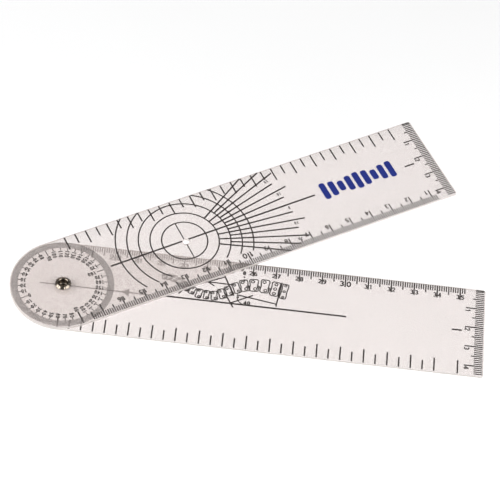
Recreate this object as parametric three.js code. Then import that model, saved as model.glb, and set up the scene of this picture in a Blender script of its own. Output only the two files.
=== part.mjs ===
// Two-arm goniometer: two identical strips of milky plastic, each with a round end and a square end,
// laid one on the other and joined through their round ends by a semi-tubular rivet.
//
// Units are millimetres and +Z is up. The origin lies on the rivet's axis, at the flat underside of its head.
// The lower arm points along +X. The upper arm is turned from it about +Z by the opening angle.

import * as THREE from 'three';
import { mergeVertices } from 'three/addons/utils/BufferGeometryUtils.js';

// ---- driving dimensions -------------------------------------------------------------------------

const ARM_REACH = 181.4; // rivet axis to the square end
const ARM_WIDTH = 45.4; // also the diameter of the round end
const ARM_THICKNESS = 1.0;
const END_CORNER_RADIUS = 1.1;
const OPENING_ANGLE_DEG = 31.0; // from the lower arm to the upper arm

const SIGHT_HOLE_DISTANCE = 58.0; // rivet axis to the hole at the centre of the upper arm's printed circles
const SIGHT_HOLE_RADIUS = 1.35;

const SHANK_RADIUS = 2.3;
const RUNNING_CLEARANCE = 0.08; // between the shank and the bore of each arm, on the radius
const LAYER_GAP = 0.05; // between one layer of the stack and the next

const HEAD_RADIUS = 3.9;
const HEAD_FLAT_RADIUS = 3.1; // the flat part of the head's underside
const HEAD_THICKNESS = 0.8;
const HEAD_SKIRT = 0.2; // height of the straight edge round the head

const CLINCH_RADIUS = 3.4; // outside of the rolled end
const CLINCH_HEIGHT = 0.8;
const CLINCH_CREST_RADIUS = 2.7; // where the rolled end stands highest
const TUBE_BORE_RADIUS = 1.75; // the hollow in the shank, open at the top
const TUBE_FLOOR_HEIGHT = 1.0; // the hollow's flat floor, above the head's underside
const TUBE_FLOOR_RADIUS = 1.3;

// ---- heights of the stack, from the head's underside up -----------------------------------------

const LOWER_ARM_BOTTOM = HEAD_THICKNESS + LAYER_GAP;
const UPPER_ARM_BOTTOM = LOWER_ARM_BOTTOM + ARM_THICKNESS + LAYER_GAP;
const CLINCH_BOTTOM = UPPER_ARM_BOTTOM + ARM_THICKNESS + LAYER_GAP;

const BORE_RADIUS = SHANK_RADIUS + RUNNING_CLEARANCE;

// ---- facets -------------------------------------------------------------------------------------

const OUTLINE_STEPS = 48; // on each curve of an arm's outline
const RIVET_STEPS = 72; // round the rivet
const ARC_STEPS = 8; // along each rounded edge of the rivet's profile

// ---- materials ----------------------------------------------------------------------------------

const milkyPlastic = () =>
  new THREE.MeshStandardMaterial({ color: 0xe9e3e0, roughness: 0.45, metalness: 0, transparent: true, opacity: 0.6 });

const nickelledSteel = () =>
  new THREE.MeshStandardMaterial({ color: 0x8d867c, roughness: 0.3, metalness: 1 });

// ---- helpers ------------------------------------------------------------------------------------

// The geometry with its shared corners joined, so that its triangles make one closed surface.
function joined(geometry) {
  geometry.deleteAttribute('normal');
  geometry.deleteAttribute('uv');
  const closed = mergeVertices(geometry, 1e-5);
  closed.computeVertexNormals();
  return closed;
}

function namedMesh(name, geometry, material) {
  const mesh = new THREE.Mesh(joined(geometry), material);
  mesh.name = name;
  return mesh;
}

// ---- the arms -----------------------------------------------------------------------------------

function roundHole(x, radius) {
  return new THREE.Path().absarc(x, 0, radius, 0, 2 * Math.PI, true);
}

// A strip along +X: a half circle about the origin at one end, two small corner radii at the other.
function armOutline() {
  const half = ARM_WIDTH / 2;
  const cornerX = ARM_REACH - END_CORNER_RADIUS;
  const cornerY = half - END_CORNER_RADIUS;
  const outline = new THREE.Shape();
  outline.moveTo(0, -half);
  outline.lineTo(cornerX, -half);
  outline.absarc(cornerX, -cornerY, END_CORNER_RADIUS, -Math.PI / 2, 0, false);
  outline.lineTo(ARM_REACH, cornerY);
  outline.absarc(cornerX, cornerY, END_CORNER_RADIUS, 0, Math.PI / 2, false);
  outline.lineTo(0, half);
  outline.absarc(0, 0, half, Math.PI / 2, 1.5 * Math.PI, false);
  outline.holes.push(roundHole(0, BORE_RADIUS));
  return outline;
}

function arm(name, outline, bottom) {
  const geometry = new THREE.ExtrudeGeometry(outline, {
    depth: ARM_THICKNESS,
    bevelEnabled: false,
    curveSegments: OUTLINE_STEPS,
  });
  const mesh = namedMesh(name, geometry, milkyPlastic());
  mesh.position.z = bottom;
  return mesh;
}

const lowerArm = arm('lower_arm', armOutline(), LOWER_ARM_BOTTOM);

const upperOutline = armOutline();
upperOutline.holes.push(roundHole(SIGHT_HOLE_DISTANCE, SIGHT_HOLE_RADIUS));
const upperArm = arm('upper_arm', upperOutline, UPPER_ARM_BOTTOM);

const upperArmTurn = new THREE.Group();
upperArmTurn.rotation.z = THREE.MathUtils.degToRad(OPENING_ANGLE_DEG);
upperArmTurn.add(upperArm);

// ---- the rivet ----------------------------------------------------------------------------------

// Points along an elliptical quarter turn in the profile plane, both ends included.
function quarterTurn(centreR, centreZ, spanR, spanZ, startDeg, endDeg) {
  const points = [];
  for (let i = 0; i <= ARC_STEPS; i += 1) {
    const angle = THREE.MathUtils.degToRad(startDeg + ((endDeg - startDeg) * i) / ARC_STEPS);
    points.push(new THREE.Vector2(centreR + spanR * Math.cos(angle), centreZ + spanZ * Math.sin(angle)));
  }
  return points;
}

// Half of the rivet's section, as (distance from the axis, height): up the outside from the middle of
// the head's underside, over the rolled end, and down the hollow to the axis again.
function rivetProfile() {
  const headEdge = HEAD_RADIUS - HEAD_FLAT_RADIUS;
  const headShoulder = HEAD_THICKNESS - HEAD_SKIRT;
  const rollOut = CLINCH_RADIUS - CLINCH_CREST_RADIUS;
  const rollIn = CLINCH_CREST_RADIUS - TUBE_BORE_RADIUS;
  const rollEdge = 0.3 * CLINCH_HEIGHT;
  return [
    new THREE.Vector2(0, 0),
    ...quarterTurn(HEAD_FLAT_RADIUS, headShoulder, headEdge, headShoulder, -90, 0),
    new THREE.Vector2(HEAD_RADIUS, HEAD_THICKNESS),
    new THREE.Vector2(SHANK_RADIUS, HEAD_THICKNESS),
    new THREE.Vector2(SHANK_RADIUS, CLINCH_BOTTOM),
    new THREE.Vector2(CLINCH_RADIUS - 0.1, CLINCH_BOTTOM),
    ...quarterTurn(CLINCH_CREST_RADIUS, CLINCH_BOTTOM + rollEdge, rollOut, CLINCH_HEIGHT - rollEdge, 0, 90),
    ...quarterTurn(CLINCH_CREST_RADIUS, CLINCH_BOTTOM, rollIn, CLINCH_HEIGHT, 90, 180).slice(1),
    new THREE.Vector2(TUBE_BORE_RADIUS, TUBE_FLOOR_HEIGHT + 0.35),
    new THREE.Vector2(TUBE_FLOOR_RADIUS, TUBE_FLOOR_HEIGHT),
    new THREE.Vector2(0, TUBE_FLOOR_HEIGHT),
  ];
}

// A lathe turns its profile about Y, so the finished shape is stood up onto Z.
const rivetGeometry = new THREE.LatheGeometry(rivetProfile(), RIVET_STEPS);
rivetGeometry.rotateX(Math.PI / 2);
const pivotRivet = namedMesh('pivot_rivet', rivetGeometry, nickelledSteel());

// ---- assembly -----------------------------------------------------------------------------------

const group = new THREE.Group();
group.name = 'goniometer';
group.add(lowerArm, upperArmTurn, pivotRivet);

export default group;
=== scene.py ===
"""Looks of a two-arm goniometer: milky plastic arms, their printed marks, and the rivet that joins them.

Everything is in metres in the frame of the CAD model. Marks are laid out in millimetres on the top face
of an arm: x runs from the rivet to the square end, y to the arm's left, and the rivet's axis is (0, 0).
"""

import math

import bmesh
import bpy
from mathutils import Matrix, Vector


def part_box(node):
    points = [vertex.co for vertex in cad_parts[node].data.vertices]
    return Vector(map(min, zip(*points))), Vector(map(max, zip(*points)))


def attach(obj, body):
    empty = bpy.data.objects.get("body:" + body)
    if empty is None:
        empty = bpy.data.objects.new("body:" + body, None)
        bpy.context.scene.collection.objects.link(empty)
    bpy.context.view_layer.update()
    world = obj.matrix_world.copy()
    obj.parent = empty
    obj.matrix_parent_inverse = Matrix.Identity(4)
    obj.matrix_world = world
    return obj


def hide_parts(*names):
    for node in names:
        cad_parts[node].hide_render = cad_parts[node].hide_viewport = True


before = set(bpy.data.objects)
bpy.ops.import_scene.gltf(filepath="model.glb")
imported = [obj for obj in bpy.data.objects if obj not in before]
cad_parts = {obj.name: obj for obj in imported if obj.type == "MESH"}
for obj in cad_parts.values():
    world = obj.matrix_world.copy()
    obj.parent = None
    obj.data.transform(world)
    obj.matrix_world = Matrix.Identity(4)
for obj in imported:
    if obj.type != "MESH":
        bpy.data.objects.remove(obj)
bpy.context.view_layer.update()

MM = 0.001

# ---- sizes taken from the CAD model ----------------------------------------------------------------

OPENING_ANGLE = math.radians(31.0)  # from the lower arm to the upper arm, at rest

lower_low, lower_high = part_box("lower_arm")
upper_low, upper_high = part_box("upper_arm")
rivet_low, rivet_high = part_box("pivot_rivet")

HALF_WIDTH = lower_high[1] / MM
REACH = lower_high[0] / MM
LOWER_BOTTOM = lower_low[2] / MM
LOWER_TOP = lower_high[2] / MM
UPPER_BOTTOM = upper_low[2] / MM
UPPER_TOP = upper_high[2] / MM
RIVET_TOP = rivet_high[2] / MM
HEAD_RADIUS = rivet_high[0] / MM

BORE_RADIUS = 2.38
CORNER_RADIUS = 1.1
SIGHT_HOLE_X = 58.0
SIGHT_HOLE_RADIUS = 1.35
EDGE_SOFTENING = 0.12  # radius of the worn edges of the plastic

# ---- sizes of the print ----------------------------------------------------------------------------

INK_GAP = 0.005  # clearance under the ink, so that no two faces coincide
INK_THICKNESS = 0.02
PRINT_EDGE = HALF_WIDTH - 0.3  # marks start this far from the arm's middle

HAIRLINE = 0.45
SPINE_LINE = 0.5
FINE_LINE = 0.5
LINE = 0.62
BOLD_LINE = 0.66
CENTRE_LINE = 0.8
DASH_LINE = 0.75

# ---- placing on the arms ---------------------------------------------------------------------------

ARMS = {
    "lower_arm": {"turn": 0.0, "bottom": LOWER_BOTTOM, "top": LOWER_TOP, "body": "lower_arm"},
    "upper_arm": {"turn": OPENING_ANGLE, "bottom": UPPER_BOTTOM, "top": UPPER_TOP, "body": "upper_arm"},
}


def new_object(name, mesh, body, material):
    """A scene object for the mesh, riding on the body and finished as the slot."""
    piece = bpy.data.objects.new(name, mesh)
    bpy.context.scene.collection.objects.link(piece)
    piece.data.materials.append(material)
    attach(piece, body)
    return piece


# ---- nodes of the materials ------------------------------------------------------------------------


class Shader:
    """A material's node tree, with short calls for the nodes that the materials here share."""

    def __init__(self, name):
        self.material = bpy.data.materials.new(name)
        self.material.use_nodes = True
        self.nodes = self.material.node_tree.nodes
        self.links = self.material.node_tree.links
        self.surface = self.nodes["Principled BSDF"]
        self.place = self.nodes.new("ShaderNodeTexCoord").outputs["Object"]

    def noise(self, scale, detail=3.0, roughness=0.5, stretch=(1.0, 1.0, 1.0)):
        """Noise over the object; scale is in cycles per metre, and stretch multiplies it along each axis."""
        mapping = self.nodes.new("ShaderNodeMapping")
        mapping.inputs["Scale"].default_value = stretch
        self.links.new(self.place, mapping.inputs["Vector"])
        texture = self.nodes.new("ShaderNodeTexNoise")
        texture.inputs["Scale"].default_value = scale
        texture.inputs["Detail"].default_value = detail
        texture.inputs["Roughness"].default_value = roughness
        self.links.new(mapping.outputs["Vector"], texture.inputs["Vector"])
        return texture.outputs["Fac"]

    def remap(self, value, low, high, to_low, to_high):
        """The value, moved from one range to another and clamped."""
        node = self.nodes.new("ShaderNodeMapRange")
        node.inputs["From Min"].default_value = low
        node.inputs["From Max"].default_value = high
        node.inputs["To Min"].default_value = to_low
        node.inputs["To Max"].default_value = to_high
        self.links.new(value, node.inputs["Value"])
        return node.outputs["Result"]

    def math(self, operation, first, second):
        """The result of a two-input Math node; second is a socket or a number."""
        node = self.nodes.new("ShaderNodeMath")
        node.operation = operation
        self.links.new(first, node.inputs[0])
        if isinstance(second, float):
            node.inputs[1].default_value = second
        else:
            self.links.new(second, node.inputs[1])
        return node.outputs[0]

    def mix(self, factor, first, second):
        """A colour between first and second, each an (r, g, b) or a socket, by the factor socket."""
        node = self.nodes.new("ShaderNodeMix")
        node.data_type = "RGBA"
        self.links.new(factor, node.inputs["Factor"])
        for socket, colour in ((node.inputs[6], first), (node.inputs[7], second)):
            if isinstance(colour, tuple):
                socket.default_value = (*colour, 1.0)
            else:
                self.links.new(colour, socket)
        return node.outputs[2]

    def drive(self, socket_name, value):
        self.links.new(value, self.surface.inputs[socket_name])

    def bump(self, height, strength, distance):
        """Bump from a height socket; distance is in metres."""
        node = self.nodes.new("ShaderNodeBump")
        node.inputs["Strength"].default_value = strength
        node.inputs["Distance"].default_value = distance
        self.links.new(height, node.inputs["Height"])
        self.links.new(node.outputs["Normal"], self.surface.inputs["Normal"])


def plastic_material(name, tone, dim_tone, alpha):
    """Milky translucent sheet: faint clouds, a fine satin grain, and hairline scratches along the arm."""
    shader = Shader(name)
    clouds = shader.noise(35.0, detail=2.0)
    grain = shader.noise(5200.0, detail=1.0)
    scratches = shader.noise(60.0, detail=4.0, roughness=0.7, stretch=(0.35, 30.0, 1.0))
    hairlines = shader.remap(scratches, 0.64, 0.7, 0.0, 1.0)
    shader.drive("Base Color", shader.mix(shader.remap(clouds, 0.3, 0.7, 0.0, 1.0), tone, dim_tone))
    satin = shader.remap(clouds, 0.2, 0.8, 0.38, 0.5)
    shader.drive("Roughness", shader.math("ADD", satin, shader.math("MULTIPLY", hairlines, 0.18)))
    relief = shader.math("ADD", grain, shader.math("MULTIPLY", hairlines, -1.5))
    shader.bump(relief, 0.12, 0.00002)
    shader.surface.inputs["IOR"].default_value = 1.49
    shader.surface.inputs["Specular IOR Level"].default_value = 0.3
    shader.surface.inputs["Alpha"].default_value = alpha
    return shader.material


def ink_material(name, tone, thin_tone):
    """Screen-printed ink: a little thinner and greyer in places, with a slightly rough skin."""
    shader = Shader(name)
    patches = shader.noise(900.0, detail=2.0)
    grain = shader.noise(6500.0, detail=1.0)
    shader.drive("Base Color", shader.mix(shader.remap(patches, 0.35, 0.75, 0.0, 1.0), tone, thin_tone))
    shader.drive("Roughness", shader.remap(grain, 0.3, 0.7, 0.42, 0.62))
    shader.bump(grain, 0.15, 0.00001)
    return shader.material


def metal_material(name):
    """Nickel plate on steel: satin on the head below, which is painted bright to stand in for the light the
    milky plastic scatters onto it; dull and brownish on the worn rolled end.
    """
    shader = Shader(name)
    tarnish = shader.noise(900.0, detail=3.0, roughness=0.6)
    pits = shader.noise(3800.0, detail=2.0)
    # painted light: the head's bright colour stands in for the light that the milky plastic scatters onto it
    # under the sheets
    painted_light_head = (0.86, 0.83, 0.79)
    worn = (0.28, 0.24, 0.2)
    dull = (0.13, 0.105, 0.08)
    separate = shader.nodes.new("ShaderNodeSeparateXYZ")
    shader.links.new(shader.place, separate.inputs["Vector"])
    height = shader.remap(separate.outputs["Z"], LOWER_BOTTOM * MM, LOWER_BOTTOM * MM + 0.0001, 0.0, 1.0)
    rolled = shader.mix(shader.remap(tarnish, 0.4, 0.75, 0.0, 1.0), worn, dull)
    # the head below the lower arm takes the painted bright colour; the rolled end and its hollow keep their
    # own tarnished colours
    shader.drive("Base Color", shader.mix(height, painted_light_head, rolled))
    polish = shader.remap(tarnish, 0.3, 0.8, 0.18, 0.36)
    satin = shader.math("SUBTRACT", polish, -0.3)
    smoothing = shader.math("MULTIPLY", height, 0.3)
    shader.drive("Roughness", shader.math("SUBTRACT", satin, smoothing))
    shader.bump(pits, 0.2, 0.00004)
    shader.surface.inputs["Metallic"].default_value = 1.0
    return shader.material


def floor_material():
    shader = Shader("pale_floor")
    patches = shader.noise(6.0, detail=2.0)
    shader.drive("Base Color", shader.mix(patches, (0.93, 0.93, 0.93), (0.95, 0.95, 0.95)))
    shader.drive("Roughness", shader.remap(patches, 0.3, 0.7, 0.55, 0.7))
    return shader.material


FACE_ALPHA = 0.35
EDGE_ALPHA = 0.8  # the cut edge looks denser, because the eye looks along the sheet there
PLASTIC = plastic_material("milky_plastic", (0.505, 0.446, 0.425), (0.497, 0.438, 0.418), FACE_ALPHA)
PLASTIC_EDGE = plastic_material("milky_plastic_edge", (0.57, 0.53, 0.51), (0.53, 0.495, 0.475), EDGE_ALPHA)
BLACK_INK = ink_material("black_ink", (0.018, 0.014, 0.013), (0.045, 0.038, 0.036))
BLUE_INK = ink_material("blue_ink", (0.01, 0.021, 0.185), (0.016, 0.032, 0.235))
NICKEL = metal_material("nickel_plate")

# ---- flat marks ------------------------------------------------------------------------------------

# A mark is (points, faces): flat points in millimetres and the faces between them, counter-clockwise.


def plate(points):
    """A filled outline."""
    return points, [tuple(range(len(points)))]


def ribbon(points, width, closed=False):
    """A line of even width along the points."""
    count = len(points)
    left = []
    right = []
    for i in range(count):
        before = points[i - 1] if i or closed else points[i]
        after = points[(i + 1) % count] if i < count - 1 or closed else points[i]
        along = Vector((after[0] - before[0], after[1] - before[1])).normalized()
        inward = Vector((points[i][0] - before[0], points[i][1] - before[1]))
        bend = along.dot(inward.normalized()) if inward.length else 1.0
        side = Vector((-along.y, along.x)) * width / 2 / max(bend, 0.5)
        left.append((points[i][0] + side.x, points[i][1] + side.y))
        right.append((points[i][0] - side.x, points[i][1] - side.y))
    faces = []
    for i in range(count if closed else count - 1):
        j = (i + 1) % count
        faces.append((count + i, count + j, j, i))
    return left + right, faces


def arc_points(centre, radius, start, end, step=math.radians(2.5)):
    """Points along an arc, both ends included; angles are in radians."""
    count = max(2, math.ceil(abs(end - start) / step) + 1)
    angles = [start + (end - start) * i / (count - 1) for i in range(count)]
    return [(centre[0] + radius * math.cos(a), centre[1] + radius * math.sin(a)) for a in angles]


def circle_points(centre, radius, count=24):
    return arc_points(centre, radius, 0.0, math.tau * (count - 1) / count, math.tau / count)


def rounded_box_points(centre, length, height, radius, tilt=0.0):
    """The outline of a box with round corners, turned by tilt about its centre."""
    points = []
    for corner, (sx, sy) in enumerate(((1, 1), (-1, 1), (-1, -1), (1, -1))):
        middle = (sx * (length / 2 - radius), sy * (height / 2 - radius))
        start = corner * math.pi / 2
        points += arc_points(middle, radius, start, start + math.pi / 2, math.radians(18))
    cos, sin = math.cos(tilt), math.sin(tilt)
    return [(centre[0] + x * cos - y * sin, centre[1] + x * sin + y * cos) for x, y in points]


# ---- digits ----------------------------------------------------------------------------------------

DIGIT_ADVANCE = 0.78  # from one digit to the next, as a share of the digits' height
STROKE = 0.22  # width of a digit's strokes, as a share of its height


def bow(centre, half_width, half_height, start, end):
    """Points along part of an oval, from one angle to the other in degrees."""
    circle = arc_points((0.0, 0.0), 1.0, math.radians(start), math.radians(end), math.radians(15))
    return [(centre[0] + half_width * x, centre[1] + half_height * y) for x, y in circle]


SIX = [bow((0.0, -0.19), 0.2, 0.23, 0, 360), bow((0.03, 0.0), 0.23, 0.42, 55, 190)]

# The middle lines of the strokes, in a box one unit high about (0, 0).
DIGIT_STROKES = {
    "0": [bow((0.0, 0.0), 0.2, 0.42, 0, 360)],
    "1": [[(0.05, -0.5), (0.05, 0.5)], [(-0.14, 0.24), (0.05, 0.4)]],
    "2": [bow((0.0, 0.2), 0.2, 0.22, 170, -35) + [(-0.19, -0.42), (0.24, -0.42)]],
    "3": [bow((-0.01, 0.22), 0.18, 0.2, 150, -90), bow((-0.01, -0.2), 0.21, 0.22, 90, -150)],
    "4": [[(0.1, -0.5), (0.1, 0.5)], [(0.1, 0.4), (-0.22, -0.18), (0.27, -0.18)]],
    "5": [[(0.2, 0.42), (-0.15, 0.42), (-0.18, 0.02)], bow((-0.01, -0.15), 0.21, 0.27, 140, -150)],
    "6": SIX,
    "7": [[(-0.22, 0.42), (0.2, 0.42), (-0.05, -0.5)]],
    "8": [bow((0.0, 0.22), 0.17, 0.2, 0, 360), bow((0.0, -0.2), 0.2, 0.22, 0, 360)],
    "9": [[(-x, -y) for x, y in stroke] for stroke in SIX],
}


def number(text, centre, height, direction, squeeze=1.2, advance=DIGIT_ADVANCE, stroke_width=STROKE):
    """Marks for the text, centred on the point and read along direction, an angle in radians."""
    cos, sin = math.cos(direction), math.sin(direction)
    marks = []
    for i, character in enumerate(text):
        shift = (i - (len(text) - 1) / 2) * advance * height
        for stroke in DIGIT_STROKES[character]:
            placed = []
            for x, y in stroke:
                across = x * height * squeeze + shift
                up = y * height
                placed.append((centre[0] + across * cos - up * sin, centre[1] + across * sin + up * cos))
            marks.append(ribbon(placed, stroke_width * height))
    return marks


# ---- from flat marks to ink ------------------------------------------------------------------------


def add_solid(vertices, polygons, mark, bottom, top):
    """The mark as a closed solid between two heights, added to the lists."""
    points, faces = mark
    start = len(vertices)
    count = len(points)
    vertices += [(x, y, bottom) for x, y in points]
    vertices += [(x, y, top) for x, y in points]
    edges = {(face[i - 1], face[i]) for face in faces for i in range(len(face))}
    for face in faces:
        polygons.append(tuple(start + count + i for i in face))
        polygons.append(tuple(start + i for i in reversed(face)))
    for a, b in sorted(edges):
        if (b, a) not in edges:
            polygons.append((start + a, start + b, start + count + b, start + count + a))


def print_marks(arm, name, marks, ink):
    """One piece of ink on the arm's top face, holding all the marks."""
    place = ARMS[arm]
    bottom = place["top"] + INK_GAP
    vertices = []
    polygons = []
    for mark in marks:
        add_solid(vertices, polygons, mark, bottom, bottom + INK_THICKNESS)
    piece_name = arm + "_" + name
    mesh = bpy.data.meshes.new(piece_name)
    mesh.from_pydata(vertices, [], polygons)
    mesh.transform(Matrix.Rotation(place["turn"], 4, "Z") @ Matrix.Scale(MM, 4))
    mesh.validate()
    piece = new_object(piece_name, mesh, place["body"], ink)
    piece.visible_shadow = False  # the plastic scatters light under so thin a line, and no shadow forms


# ---- the printed scales ----------------------------------------------------------------------------

# Length and width of a ruler's ticks.
MILLIMETRE_TICK = (2.8, 0.52)
HALF_TICK = (4.3, 0.58)
CENTIMETRE_TICK = (6.4, 0.62)

RULER_START = 5
RULER_END = 172
PIVOT_READING = 180  # what the rulers count at the rivet, in millimetres

NUMBER_HEIGHT = 2.3
NUMBER_STYLE = {"height": NUMBER_HEIGHT, "pitch": 2.1, "squeeze": 1.15}
TENS_STYLE = {"height": 2.8, "pitch": 3.1, "squeeze": 1.3}
TENS_RAISE = 0.15  # how much nearer to the edge the tens stand
BESIDE_TICK = 1.3  # from a tick to the middle of the single digit beside it


def tick_size(millimetre):
    """(length, width) of the tick at a whole millimetre."""
    if millimetre % 10 == 0:
        return CENTIMETRE_TICK
    if millimetre % 5 == 0:
        return HALF_TICK
    return MILLIMETRE_TICK


def edge_ruler(side, shift=0.0):
    """Millimetre ticks along the long edge on one side, +1 for left and -1 for right."""
    marks = []
    for millimetre in range(RULER_START, RULER_END + 1):
        length, width = tick_size(millimetre)
        x = millimetre + shift
        marks.append(ribbon([(x, side * PRINT_EDGE), (x, side * (PRINT_EDGE - length))], width))
    return marks


def ruler_numbers(side, values, direction, inset):
    """Centimetre numbers, inset from the print's edge: one digit beside its tick, two astride it."""
    marks = []
    for value, x in values:
        text = str(value)
        tens = value % 10 == 0
        style = TENS_STYLE if tens else NUMBER_STYLE
        height = style["height"]
        aside = BESIDE_TICK if len(text) == 1 else 0.0
        raised = TENS_RAISE if tens else 0.0
        centre = (x - aside, side * (PRINT_EDGE - inset + raised))
        marks += number(text, centre, height, direction, style["squeeze"], style["pitch"] / height)
    return marks


HALF_EDGE_MARK = 4.9
EDGE_MARK = 6.8
EDGE_MARK_START = PRINT_EDGE - 0.1


def edge_marks(side, positions):
    """Bold marks every 5 mm along the other long edge, longer at each centimetre."""
    marks = []
    for x in positions:
        length = EDGE_MARK if round(x) % 10 == 0 else HALF_EDGE_MARK
        ends = [(x, side * EDGE_MARK_START), (x, side * (EDGE_MARK_START - length))]
        marks.append(ribbon(ends, BOLD_LINE))
    return marks


END_SCALE_LENGTH = 44
END_SCALE_INSET = 0.5  # from the square end to the scale's ticks
END_TICK = 3.7
LONG_END_TICKS = {0: 7.9, 5: 5.0}  # lengths, by the millimetre's last digit
CORNER_CLEARANCE = 0.3  # the first tick keeps this clear of the round corner
END_NUMBER_X = REACH - 7.4
END_NUMBER_SHIFT = 1.25  # from a tick to the middle of its number


def end_scale():
    """The short scale across the square end, counted from the left corner."""
    marks = []
    outer = REACH - END_SCALE_INSET
    for millimetre in range(END_SCALE_LENGTH + 1):
        y = PRINT_EDGE - max(millimetre, CORNER_CLEARANCE)
        length = LONG_END_TICKS.get(millimetre % 10, END_TICK) if millimetre else END_TICK
        width = tick_size(millimetre)[1]
        marks.append(ribbon([(outer, y), (outer - length, y)], width))
    for centimetre in range(1, 5):
        y = PRINT_EDGE - 10 * centimetre - END_NUMBER_SHIFT
        marks += number(str(centimetre), (END_NUMBER_X, y), NUMBER_HEIGHT, -math.pi / 2)
    return marks


# ---- the upper arm's print -------------------------------------------------------------------------

DIAL_SHIFT = (-0.2, -0.05)  # the print sits a little off the rivet
DIAL_OUTER = 22.05
DIAL_INNER = 19.15
DIAL_TEN_INNER = 17.7
DIAL_QUARTER_INNER = 15.9
DEGREE_TICK = 0.17  # widths of the dial's ticks
TEN_DEGREE_TICK = 0.34
DIAL_NUMBER_HEIGHT = 1.85
TWO_DIGIT_RADIUS = 16.8
THREE_DIGIT_RADIUS = 15.95
QUARTER_NUMBER_RADII = {0: 15.3, 90: 14.5, 180: 13.6}  # further in, past the longer ticks


def polar(radius, angle, centre=(0.0, 0.0)):
    return (centre[0] + radius * math.cos(angle), centre[1] + radius * math.sin(angle))


def dial_ticks():
    """One tick per degree round the rivet, with longer ones every ten degrees and at the quarters."""
    marks = []
    for degree in range(360):
        angle = math.radians(degree)
        ends = [polar(radius, angle, DIAL_SHIFT) for radius in (DIAL_INNER, DIAL_OUTER)]
        marks.append(ribbon(ends, DEGREE_TICK))
        if degree % 10 == 0:
            inner = DIAL_TEN_INNER if degree % 90 else DIAL_QUARTER_INNER
            ends = [polar(radius, angle, DIAL_SHIFT) for radius in (inner, DIAL_INNER)]
            marks.append(ribbon(ends, TEN_DEGREE_TICK))
    return marks


def dial_numbers():
    """0 to 180 on both halves, starting on the side away from the arm."""
    marks = []
    for value in range(0, 181, 10):
        usual_radius = TWO_DIGIT_RADIUS if value < 100 else THREE_DIGIT_RADIUS
        radius = QUARTER_NUMBER_RADII.get(value, usual_radius)
        halves = (1,) if value in (0, 180) else (1, -1)
        for half in halves:
            angle = math.pi - half * math.radians(value)
            direction = angle if value < 90 else angle + math.pi
            place = polar(radius, angle, DIAL_SHIFT)
            marks += number(
                str(value), place, DIAL_NUMBER_HEIGHT, direction, squeeze=0.9, advance=0.7, stroke_width=0.22
            )
    return marks


CIRCLE_CENTRE = (57.7, 0.7)  # the print sits a little off the sight hole
CIRCLE_RADII = (10.05, 15.1, 20.2, 25.2, 30.2)
WHOLE_CIRCLES = 2  # the inner circles that nothing cuts short
CIRCLE_FLOOR = -14.8  # y at which the first of the others stops, above the ruler's numbers
FLOOR_STEP = 0.5  # how much lower each circle after it stops
HOLE_CLEARANCE = 1.5  # the printed lines stop this far from the middle of the sight hole
PRINT_TILT = math.radians(0.4)  # how far the print about the sight hole is turned on the arm


def band_arcs(radius, low, high):
    """The parts of a circle about CIRCLE_CENTRE that lie between two values of y."""
    cy = CIRCLE_CENTRE[1]
    if cy + radius < high and cy - radius > low:
        return [(0.0, math.tau)]
    top = math.asin(min(1.0, (high - cy) / radius))
    bottom = math.asin(max(-1.0, (low - cy) / radius))
    if cy + radius < high:
        return [(bottom, math.pi - bottom)]
    return [(bottom, top), (math.pi - top, math.pi - bottom)]


def target_circles():
    """Rings every 5 mm about the sight hole, with a cross inside the first."""
    marks = []
    for i, radius in enumerate(CIRCLE_RADII):
        floor = CIRCLE_FLOOR - FLOOR_STEP * (i - WHOLE_CIRCLES) if i >= WHOLE_CIRCLES else -HALF_WIDTH
        for start, end in band_arcs(radius, floor, PRINT_EDGE):
            if end - start >= math.tau:
                marks.append(ribbon(circle_points(CIRCLE_CENTRE, radius, 144), LINE, closed=True))
            else:
                marks.append(ribbon(arc_points(CIRCLE_CENTRE, radius, start, end), LINE))
    cx, cy = CIRCLE_CENTRE
    for sign in (1, -1):
        ends = [(cx, sign * HOLE_CLEARANCE), (cx, cy + sign * CIRCLE_RADII[0])]
        marks.append(ribbon(ends, FINE_LINE))
    return marks


FAN_STEP = math.radians(5)
FAN_REACH = {0: 55.0, 1: 51.0}  # even lines, odd lines
FAN_START = {0: 15.0, 1: 20.0}
FAN_LINE = 0.72
FAN_NUMBER_RADIUS = 50.3
FAN_NUMBER_HEIGHT = 1.5


def fan_lines():
    """Lines every five degrees from the circles towards the square end."""
    marks = []
    cy = CIRCLE_CENTRE[1]
    for step in range(-6, 7):
        if step == 0:
            continue
        angle = step * FAN_STEP + PRINT_TILT
        to_the_edge = (PRINT_EDGE - math.copysign(cy, step)) / abs(math.sin(angle))
        radii = (FAN_START[step % 2], min(FAN_REACH[step % 2], to_the_edge))
        marks.append(ribbon([polar(radius, angle, CIRCLE_CENTRE) for radius in radii], FAN_LINE))
    for step in range(4, -5, -2):
        angle = step * FAN_STEP
        x, y = polar(FAN_NUMBER_RADIUS, angle, CIRCLE_CENTRE)
        below = (x, y - FAN_NUMBER_HEIGHT)
        text = str(5 * abs(step))
        marks += number(text, below, FAN_NUMBER_HEIGHT, angle + math.pi, squeeze=0.9, advance=0.74)
    return marks


LINE_START = 22.3
LINE_END = 121.8
DASH_START = 166.8
DASH_END = 171.6


def upper_centre_line():
    """The line through the circles, broken at the hole, and the short dash near the square end."""
    marks = [ribbon([(DASH_START, -0.1), (DASH_END, -0.1)], DASH_LINE)]
    cx = CIRCLE_CENTRE[0]
    gap = (SIGHT_HOLE_X - HOLE_CLEARANCE, SIGHT_HOLE_X + HOLE_CLEARANCE)
    for start, end in ((LINE_START, gap[0]), (gap[1], LINE_END)):
        ends = [polar(x - cx, PRINT_TILT, CIRCLE_CENTRE) for x in (start, end)]
        marks.append(ribbon(ends, CENTRE_LINE))
    return marks


MOTIF_BARS = 9
MOTIF_START = (127.0, 1.4)  # the middle of the first bar
BAR_PITCH = 4.15
BAR_WIDTH = 2.9
BAR_CORNER = 1.1
SHORTEST_BAR = 5.6
BAR_SWING = 3.6  # how much longer the longest bars are


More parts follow.
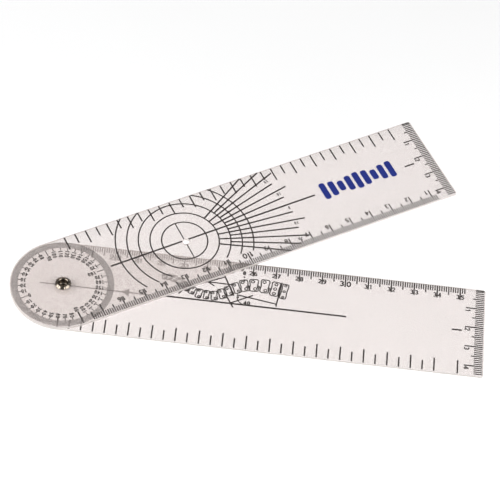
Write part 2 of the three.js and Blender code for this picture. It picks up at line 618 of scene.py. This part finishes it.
def blue_motif():
    """A plain decoration: a row of rounded bars of changing height."""
    marks = []
    for i in range(MOTIF_BARS):
        height = SHORTEST_BAR + BAR_SWING * abs(math.cos(i * math.pi / 4))
        centre = (MOTIF_START[0] + BAR_PITCH * i, MOTIF_START[1])
        marks.append(plate(rounded_box_points(centre, BAR_WIDTH, height, BAR_CORNER)))
    return marks


UPPER_NUMBER_INSET = 5.4
UPPER_NUMBER_SHIFT = -0.2  # the numbers stand this much off their ticks
UPPER_PRINT = {
    "ruler_ticks": edge_ruler(-1),
    "ruler_numbers": ruler_numbers(
        -1,
        [(value, PIVOT_READING - 10 * value + UPPER_NUMBER_SHIFT) for value in range(1, 17)],
        math.pi,
        UPPER_NUMBER_INSET,
    ),
    "zero_tick": [ribbon([(0.0, -PRINT_EDGE), (0.0, -DIAL_QUARTER_INNER)], LINE)],
    "edge_marks": edge_marks(1, range(10, 171, 5)),
    "end_scale": end_scale(),
    "dial_ticks": dial_ticks(),
    "dial_numbers": dial_numbers(),
    "target_circles": target_circles(),
    "angle_fan": fan_lines(),
    "centre_line": upper_centre_line(),
    "blue_motif": blue_motif(),
}

for name, marks in UPPER_PRINT.items():
    print_marks("upper_arm", name, marks, BLUE_INK if name == "blue_motif" else BLACK_INK)

# ---- the lower arm's print -------------------------------------------------------------------------

LOWER_PRINT_SHIFT = 0.35  # the print of the lower arm sits this much further from the rivet
POINTER_TIP = 24.9
POINTER_BASE = 28.4
POINTER_HALF_HEIGHT = 2.0
POINTER_TAIL = -10.0
POINTER_LINE_END = 37.5
RIVET_CLEARANCE = 2.9  # the line breaks off this far from the rivet's axis
LOWER_LINE_START = 44.0


def pointer():
    """The line through the rivet that reads the dial, with its arrowhead, and the arm's centre line."""
    arrowhead = [
        (POINTER_TIP, 0.0),
        (POINTER_BASE, -POINTER_HALF_HEIGHT),
        (POINTER_BASE, POINTER_HALF_HEIGHT),
    ]
    return [
        ribbon([(POINTER_TAIL, 0.0), (-RIVET_CLEARANCE, 0.0)], LINE),
        ribbon([(RIVET_CLEARANCE, 0.0), (POINTER_LINE_END, 0.0)], LINE),
        plate(arrowhead),
        ribbon([(LOWER_LINE_START, 0.35), (LINE_END, 0.4)], CENTRE_LINE),
        ribbon([(DASH_START + 0.5, 0.2), (DASH_END, 0.2)], DASH_LINE),
    ]


# The drawn vertebrae, from the small ones nearest the rivet: (x, y, length, height).
VERTEBRAE = (
    (42.4, 10.5, 2.0, 2.6),
    (44.5, 10.6, 2.1, 2.9),
    (46.7, 10.1, 2.1, 3.1),
    (48.9, 9.1, 2.2, 3.2),
    (50.9, 7.7, 2.2, 3.4),
    (52.8, 6.0, 2.2, 3.4),
    (55.1, 5.0, 2.8, 3.9),
    (58.1, 3.8, 2.8, 4.7),
    (61.3, 3.5, 2.6, 4.4),
    (64.6, 3.5, 3.1, 4.6),
    (67.8, 4.9, 3.2, 5.0),
    (70.7, 6.8, 3.3, 4.9),
    (73.8, 8.8, 3.4, 5.5),
    (77.1, 10.6, 4.0, 5.9),
    (81.2, 11.3, 4.2, 6.3),
    (85.9, 11.4, 4.2, 6.9),
    (90.4, 10.6, 4.1, 7.4),
    (94.4, 9.8, 3.0, 7.9),
)


LONG_VERTEBRA = 4.0
RING_SIZE = 0.16  # radius of a ring inside a vertebra, as a share of the vertebra's length
DISC_RING = 0.55  # radius of a ring between two vertebrae


def waisted_points(centre, length, height, tilt):
    """The outline of a squarish body that is drawn in at the middle of its height."""
    cos, sin = math.cos(tilt), math.sin(tilt)
    points = []
    for x, y in circle_points((0.0, 0.0), 1.0, 40):
        across = math.copysign(abs(x) ** 0.4, x) * length / 2
        up = math.copysign(abs(y) ** 0.5, y)
        across *= 1 - 0.22 * (1 - up * up) ** 2
        up *= height / 2
        points.append((centre[0] + across * cos - up * sin, centre[1] + across * sin + up * cos))
    return points


def spine_outlines():
    """Each vertebra as a waisted outline with rings inside, and a ring between each two of the long ones."""
    marks = []
    for i, (x, y, length, height) in enumerate(VERTEBRAE):
        before = VERTEBRAE[max(i - 1, 0)]
        after = VERTEBRAE[min(i + 1, len(VERTEBRAE) - 1)]
        tilt = 0.8 * math.atan2(after[1] - before[1], after[0] - before[0])
        marks.append(ribbon(waisted_points((x, y), length, height, tilt), SPINE_LINE, closed=True))
        rings = (-1, 0, 1) if i >= len(VERTEBRAE) - 2 else (-1, 1)
        for step in rings:
            reach = step * (height / 2 - 0.3 * length)
            aside = 0.0 if len(rings) == 3 else -0.12 * length * step
            centre = (
                x - reach * math.sin(tilt) + aside * math.cos(tilt),
                y + reach * math.cos(tilt) + aside * math.sin(tilt),
            )
            marks.append(ribbon(circle_points(centre, RING_SIZE * length, 12), HAIRLINE, closed=True))
        if length >= LONG_VERTEBRA and after[2] >= LONG_VERTEBRA:
            centre = ((x + after[0]) / 2 - 0.4, (y + after[1]) / 2 - 0.7)
            marks.append(ribbon(circle_points(centre, DISC_RING, 12), HAIRLINE, closed=True))
    return marks


def spine_angle_lines():
    """The construction that measures the spine's curve: end-plate lines, their square lines, an arc."""
    strokes = (
        ((59.1, 9.4), (68.1, 13.8), LINE),
        ((68.1, 14.8), (73.0, 4.6), BOLD_LINE),
        ((61.4, 10.4), (72.0, 10.3), LINE),
        ((61.4, 10.4), (64.2, 8.6), LINE),
        ((68.8, 5.9), (73.2, -1.6), BOLD_LINE),
        ((71.9, 0.6), (81.2, 5.9), LINE),
        ((74.4, 5.3), (91.6, 2.7), LINE),
        ((93.1, 14.4), (91.4, 1.4), LINE),
        ((49.4, 2.4), (51.2, 5.0), LINE),
    )
    marks = [ribbon([a, b], width) for a, b, width in strokes]
    marks.append(ribbon(arc_points((78.4, 4.3), 3.9, math.radians(165), math.radians(250)), HAIRLINE))
    marks.append(plate([(75.0, 5.0), (74.6, 3.6), (75.4, 3.6)]))
    for x, y in ((75.8, 18.9), (76.7, 15.0), (76.9, 13.2)):
        marks.append(plate(circle_points((x, y), 0.45, 12)))
    marks += number("8", (76.6, 17.2), 1.9, 0.0, stroke_width=0.3)
    marks += number("40", (78.9, 1.5), 1.9, 0.0, stroke_width=0.3)
    return marks


LOWER_NUMBER_INSET = 4.9
MISSING_EDGE_MARK = 165
LOWER_PRINT = {
    "ruler_ticks": edge_ruler(1, LOWER_PRINT_SHIFT),
    "ruler_numbers": ruler_numbers(
        1,
        [(value, 10 * value - PIVOT_READING + LOWER_PRINT_SHIFT) for value in range(20, 36)],
        0.0,
        LOWER_NUMBER_INSET,
    ),
    "edge_marks": edge_marks(-1, [x + LOWER_PRINT_SHIFT for x in range(0, 171, 5) if x != MISSING_EDGE_MARK]),
    "end_scale": end_scale(),
    "pointer": pointer(),
    "spine_outline": spine_outlines(),
    "spine_angle": spine_angle_lines(),
}

for name, marks in LOWER_PRINT.items():
    print_marks("lower_arm", name, marks, BLACK_INK)

# ---- the arms --------------------------------------------------------------------------------------


def arm_outline(inset):
    """The arm's outline as points, drawn in by the inset."""
    half = HALF_WIDTH - inset
    corner = CORNER_RADIUS - inset
    x = REACH - CORNER_RADIUS
    y = HALF_WIDTH - CORNER_RADIUS
    step = math.radians(15)
    points = arc_points((0.0, 0.0), half, math.pi / 2, 1.5 * math.pi, math.radians(1.5))
    points += arc_points((x, -y), corner, -math.pi / 2, 0.0, step)
    points += arc_points((x, y), corner, 0.0, math.pi / 2, step)
    return points


def loft(work, loops):
    """Side faces between successive closed loops of bmesh vertices."""
    for first, second in zip(loops, loops[1:]):
        count = len(first)
        for i in range(count):
            j = (i + 1) % count
            work.faces.new((first[i], first[j], second[j], second[i]))


def add_loops(work, outline_at, levels):
    """Vertex loops of an outline at each (inset, height), the outline given as a function of the inset."""
    loops = []
    for inset, height in levels:
        loops.append([work.verts.new((x, y, height)) for x, y in outline_at(inset)])
    return loops


def hole_outline(x, radius):
    """The hole's outline as a function of how far it is widened."""
    return lambda inset: circle_points((x, 0.0), radius + inset, 64)


def make_arm(arm, holes):
    """The arm as a closed plate with softened edges and round holes, each hole an (x, radius)."""
    place = ARMS[arm]
    levels = []
    for bottom_edge in (True, False):
        for i in range(4):
            angle = i * math.pi / 6
            turn = (math.sin(angle), math.cos(angle)) if bottom_edge else (math.cos(angle), math.sin(angle))
            inset = EDGE_SOFTENING * (1 - turn[0])
            rise = EDGE_SOFTENING * (1 - turn[1])
            levels.append((inset, place["bottom"] + rise if bottom_edge else place["top"] - rise))
    work = bmesh.new()
    rims = add_loops(work, arm_outline, levels)
    loft(work, rims)
    bottoms = [rims[0]]
    tops = [rims[-1]]
    for x, radius in holes:
        walls = add_loops(work, hole_outline(x, radius), levels)
        loft(work, [list(reversed(wall)) for wall in walls])
        bottoms.append(walls[0])
        tops.append(walls[-1])
    for wall_face in work.faces:
        wall_face.material_index = 1
    for loops in (bottoms, tops):
        edges = []
        for loop in loops:
            for i, vert in enumerate(loop):
                edges.append(work.edges.get((vert, loop[(i + 1) % len(loop)])))
        bmesh.ops.triangle_fill(work, use_beauty=True, use_dissolve=False, edges=edges)
    bmesh.ops.recalc_face_normals(work, faces=work.faces)
    bmesh.ops.transform(
        work, matrix=Matrix.Rotation(place["turn"], 4, "Z") @ Matrix.Scale(MM, 4), verts=work.verts
    )
    mesh = bpy.data.meshes.new(arm + "_sheet")
    work.to_mesh(mesh)
    work.free()
    piece = new_object(arm + "_sheet", mesh, place["body"], PLASTIC)
    piece.data.materials.append(PLASTIC_EDGE)
    piece.visible_shadow = False  # the milky plastic passes light on, so the floor stays clear of shadow
    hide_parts(arm)


make_arm("lower_arm", [(0.0, BORE_RADIUS)])
make_arm("upper_arm", [(0.0, BORE_RADIUS), (SIGHT_HOLE_X, SIGHT_HOLE_RADIUS)])

# ---- the rivet -------------------------------------------------------------------------------------

RIVET_STEPS = 144
SHANK_RADIUS = 2.3
HEAD_THICKNESS = 0.8
HEAD_FLAT = 3.1  # radius of the flat under the head
HEAD_CURVE = 0.6  # height of the curve round that flat
HEAD_BEVEL = 0.06
ROLL_RADIUS = 3.4
ROLL_CREST = 2.3
ROLL_EDGE = 0.3  # radius of the rolled end's outer edge
CREST_CURVE = 0.35  # radius of its crest
SHOULDER_SLOPE = math.radians(46)  # between the vertical and the flat shoulder that joins those curves
ROLL_BOTTOM = UPPER_TOP + 0.05
HOLLOW_RADIUS = 1.8
HOLLOW_FLOOR = 1.0
CREASES = 6  # shallow folds in the rolled end


def rivet_profile():
    """(radius, height, share of the creases) up the outside, over the rolled end and down the hollow."""
    profile = [(HEAD_FLAT, 0.0, 0.0)]
    for i in range(1, 9):
        angle = -math.pi / 2 + i * math.pi / 16
        x = HEAD_FLAT + (HEAD_RADIUS - HEAD_FLAT) * math.cos(angle)
        profile.append((x, HEAD_CURVE + HEAD_CURVE * math.sin(angle), 0.0))
    profile += [
        (HEAD_RADIUS, HEAD_THICKNESS - HEAD_BEVEL, 0.0),
        (HEAD_RADIUS - HEAD_BEVEL, HEAD_THICKNESS, 0.0),
        (SHANK_RADIUS, HEAD_THICKNESS, 0.0),
        (SHANK_RADIUS, ROLL_BOTTOM, 0.0),
        (ROLL_RADIUS - 0.12, ROLL_BOTTOM, 0.3),
    ]
    rise = RIVET_TOP - ROLL_BOTTOM
    for i in range(0, 7):
        angle = i * SHOULDER_SLOPE / 6
        x = ROLL_RADIUS - ROLL_EDGE * (1 - math.cos(angle))
        z = ROLL_BOTTOM + 0.1 * rise + ROLL_EDGE * math.sin(angle)
        profile.append((x, z, 1.0))
    for i in range(0, 9):
        angle = SHOULDER_SLOPE + i * (math.pi / 2 - SHOULDER_SLOPE) / 8
        x = ROLL_CREST + CREST_CURVE * math.cos(angle)
        z = RIVET_TOP - CREST_CURVE * (1 - math.sin(angle))
        profile.append((x, z, 1.0))
    for i in range(1, 11):
        angle = math.pi / 2 + i * math.pi / 20
        x = ROLL_CREST + (ROLL_CREST - HOLLOW_RADIUS) * math.cos(angle)
        z = ROLL_BOTTOM + rise * math.sin(angle)
        profile.append((x, z, 1.0 - i / 10))
    profile += [
        (HOLLOW_RADIUS, HOLLOW_FLOOR + 0.4, 0.0),
        (HOLLOW_RADIUS - 0.1, HOLLOW_FLOOR + 0.15, 0.0),
        (HOLLOW_RADIUS - 0.45, HOLLOW_FLOOR, 0.0),
        (0.5, HOLLOW_FLOOR, 0.0),
        (0.25, HOLLOW_FLOOR + 0.12, 0.0),
    ]
    return profile


def make_rivet():
    """The rivet turned about its axis, with shallow creases where its end was rolled over."""
    work = bmesh.new()
    loops = []
    for radius, height, crease in rivet_profile():
        loop = []
        for i in range(RIVET_STEPS):
            angle = math.tau * i / RIVET_STEPS
            fold = max(0.0, math.cos(CREASES * angle + 0.6)) ** 24
            sink = 0.07 * crease * fold
            wave = 0.02 * crease * math.sin(3 * angle + 1.0)
            r = radius + (wave if crease else 0.0) - 0.5 * sink
            loop.append(work.verts.new((r * math.cos(angle), r * math.sin(angle), height - sink)))
        loops.append(loop)
    loft(work, loops)
    for loop, height in ((loops[0], 0.0), (loops[-1], HOLLOW_FLOOR + 0.14)):
        middle = work.verts.new((0.0, 0.0, height))
        for i in range(RIVET_STEPS):
            work.faces.new((loop[i], loop[(i + 1) % RIVET_STEPS], middle))
    bmesh.ops.recalc_face_normals(work, faces=work.faces)
    bmesh.ops.transform(work, matrix=Matrix.Scale(MM, 4), verts=work.verts)
    mesh = bpy.data.meshes.new("rolled_rivet")
    work.to_mesh(mesh)
    work.free()
    mesh.shade_smooth()
    piece = new_object("rolled_rivet", mesh, "lower_arm", NICKEL)
    sharp = piece.modifiers.new("sharp_edges", "EDGE_SPLIT")
    sharp.split_angle = math.radians(50)
    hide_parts("pivot_rivet")


make_rivet()

# ---- floor, light and camera -----------------------------------------------------------------------

FLOOR_HALF = 3.0


def make_floor():
    corners = [(x * FLOOR_HALF, y * FLOOR_HALF, 0.0) for x, y in ((-1, -1), (1, -1), (1, 1), (-1, 1))]
    mesh = bpy.data.meshes.new("floor")
    mesh.from_pydata(corners, [], [(0, 1, 2, 3)])
    floor = bpy.data.objects.new("floor", mesh)
    floor.data.materials.append(floor_material())
    bpy.context.scene.collection.objects.link(floor)


def soft_light(name, place, aim, size, watts):
    """A square area light that faces its aim."""
    lamp = bpy.data.lights.new(name, "AREA")
    lamp.size = size
    lamp.energy = watts
    holder = bpy.data.objects.new(name, lamp)
    holder.location = place
    holder.rotation_euler = (Vector(aim) - Vector(place)).to_track_quat("-Z", "Y").to_euler()
    bpy.context.scene.collection.objects.link(holder)


LIGHT_AIM = (0.08, 0.04, 0.0)  # over the middle of the tool
CAMERA_PLACE = Vector((0.0699, -0.5634, 0.7879))
CAMERA_AIM = Vector((0.0778, 0.0296, 0.0024))
CAMERA_ROLL = math.radians(7.16)
FOCAL_LENGTH = 162.8  # on a 36 mm wide sensor


def make_camera():
    camera = bpy.data.cameras.new("camera")
    camera.sensor_width = 36.0
    camera.lens = FOCAL_LENGTH
    camera.clip_start = 0.01
    camera.clip_end = 20.0
    holder = bpy.data.objects.new("camera", camera)
    turn = (CAMERA_AIM - CAMERA_PLACE).to_track_quat("-Z", "Y").to_matrix().to_4x4()
    holder.matrix_world = Matrix.Translation(CAMERA_PLACE) @ turn @ Matrix.Rotation(CAMERA_ROLL, 4, "Z")
    bpy.context.scene.collection.objects.link(holder)
    bpy.context.scene.camera = holder


def make_world():
    world = bpy.data.worlds.new("studio")
    world.use_nodes = True
    background = world.node_tree.nodes["Background"]
    background.inputs["Color"].default_value = (1.0, 1.0, 1.0, 1.0)
    background.inputs["Strength"].default_value = 0.12
    bpy.context.scene.world = world


make_floor()
soft_light("left_light", (-1.0, -0.4, 0.75), LIGHT_AIM, 1.0, 21.0)
soft_light("right_light", (1.2, -0.45, 0.75), LIGHT_AIM, 1.3, 25.0)
make_world()
make_camera()
bpy.context.scene.view_settings.view_transform = "Standard"
